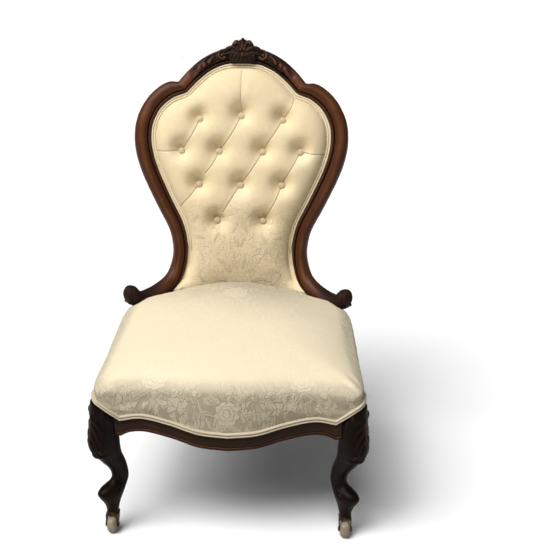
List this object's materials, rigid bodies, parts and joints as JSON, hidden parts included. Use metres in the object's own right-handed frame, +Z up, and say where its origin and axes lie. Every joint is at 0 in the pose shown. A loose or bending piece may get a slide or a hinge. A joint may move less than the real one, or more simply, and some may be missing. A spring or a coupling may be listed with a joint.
{
  "type": "grandmother chair",
  "caption": "Low upholstered spoon-back chair with a button-tufted back, sprung seat, carved show-wood frame, cabriole front legs and brass casters with porcelain wheels.",
  "frame": {"origin": "on the floor under the middle of the chair's bounding box", "axes": "+Z up; the sitter faces -Y; +X is on the right of someone looking at the front"},
  "size_m": [0.5968, 0.677, 0.9979],
  "materials": {
    "walnut": "French polished dark walnut",
    "beech": "unpolished beech",
    "damask": "cream damask, tone on tone",
    "hessian": "coarse jute",
    "black_cloth": "thin black cotton",
    "spring_steel": "drawn wire",
    "brass": "aged brass",
    "porcelain": "cream glaze"
  },
  "bodies": {
    "chair": {"back_button_01": "damask", "back_button_02": "damask", "back_button_03": "damask", "back_button_04": "damask", "back_button_05": "damask", "back_button_06": "damask", "back_button_07": "damask", "back_button_08": "damask", "back_button_09": "damask", "back_button_10": "damask", "back_button_11": "damask", "back_button_12": "damask", "back_canvas": "hessian", "back_pad": "damask", "back_piping": "damask", "back_stile_left": "walnut", "back_stile_right": "walnut", "caster_front_left_plate": "brass", "caster_front_right_plate": "brass", "caster_rear_left_plate": "brass", "caster_rear_right_plate": "brass", "corner_block_front_left": "beech", "corner_block_front_right": "beech", "corner_block_rear_left": "beech", "corner_block_rear_right": "beech", "crest_carving": "walnut", "crest_rail": "walnut", "front_leg_left": "walnut", "front_leg_right": "walnut", "front_seat_rail": "walnut", "lower_back_rail": "beech", "outside_back_panel": "damask", "rear_leg_left": "walnut", "rear_leg_right": "walnut", "rear_seat_rail": "beech", "seat_cushion": "damask", "seat_dust_cover": "black_cloth", "seat_piping": "damask", "seat_spring_1": "spring_steel", "seat_spring_2": "spring_steel", "seat_spring_3": "spring_steel", "seat_spring_4": "spring_steel", "seat_spring_5": "spring_steel", "seat_webbing": "hessian", "side_seat_rail_left": "walnut", "side_seat_rail_right": "walnut", "spring_canvas": "hessian"},
    "caster_front_left_swivel": {"caster_front_left_fork": "brass", "caster_front_left_axle": "brass"},
    "caster_front_left_roller": {"caster_front_left_wheel": "porcelain"},
    "caster_front_right_swivel": {"caster_front_right_fork": "brass", "caster_front_right_axle": "brass"},
    "caster_front_right_roller": {"caster_front_right_wheel": "porcelain"},
    "caster_rear_left_swivel": {"caster_rear_left_fork": "brass", "caster_rear_left_axle": "brass"},
    "caster_rear_left_roller": {"caster_rear_left_wheel": "porcelain"},
    "caster_rear_right_swivel": {"caster_rear_right_fork": "brass", "caster_rear_right_axle": "brass"},
    "caster_rear_right_roller": {"caster_rear_right_wheel": "porcelain"}
  },
  "joints": [
    {"name": "caster_front_left_turn", "type": "hinge", "parent": "chair", "child": "caster_front_left_swivel", "pos_m": [-0.2545, -0.27501, 0.01871], "axis": [0, 0, 1], "continuous": true},
    {"name": "caster_front_left_roll", "type": "hinge", "parent": "caster_front_left_swivel", "child": "caster_front_left_roller", "pos_m": [-0.2545, -0.28701, 0.01871], "axis": [1, 0, 0], "continuous": true},
    {"name": "caster_front_right_turn", "type": "hinge", "parent": "chair", "child": "caster_front_right_swivel", "pos_m": [0.2545, -0.27501, 0.01871], "axis": [0, 0, 1], "continuous": true},
    {"name": "caster_front_right_roll", "type": "hinge", "parent": "caster_front_right_swivel", "child": "caster_front_right_roller", "pos_m": [0.2545, -0.28701, 0.01871], "axis": [1, 0, 0], "continuous": true},
    {"name": "caster_rear_left_turn", "type": "hinge", "parent": "chair", "child": "caster_rear_left_swivel", "pos_m": [-0.2065, 0.27876, 0.01871], "axis": [0, 0, 1], "continuous": true},
    {"name": "caster_rear_left_roll", "type": "hinge", "parent": "caster_rear_left_swivel", "child": "caster_rear_left_roller", "pos_m": [-0.2065, 0.26676, 0.01871], "axis": [1, 0, 0], "continuous": true},
    {"name": "caster_rear_right_turn", "type": "hinge", "parent": "chair", "child": "caster_rear_right_swivel", "pos_m": [0.2065, 0.27876, 0.01871], "axis": [0, 0, 1], "continuous": true},
    {"name": "caster_rear_right_roll", "type": "hinge", "parent": "caster_rear_right_swivel", "child": "caster_rear_right_roller", "pos_m": [0.2065, 0.26676, 0.01871], "axis": [1, 0, 0], "continuous": true}
  ]
}
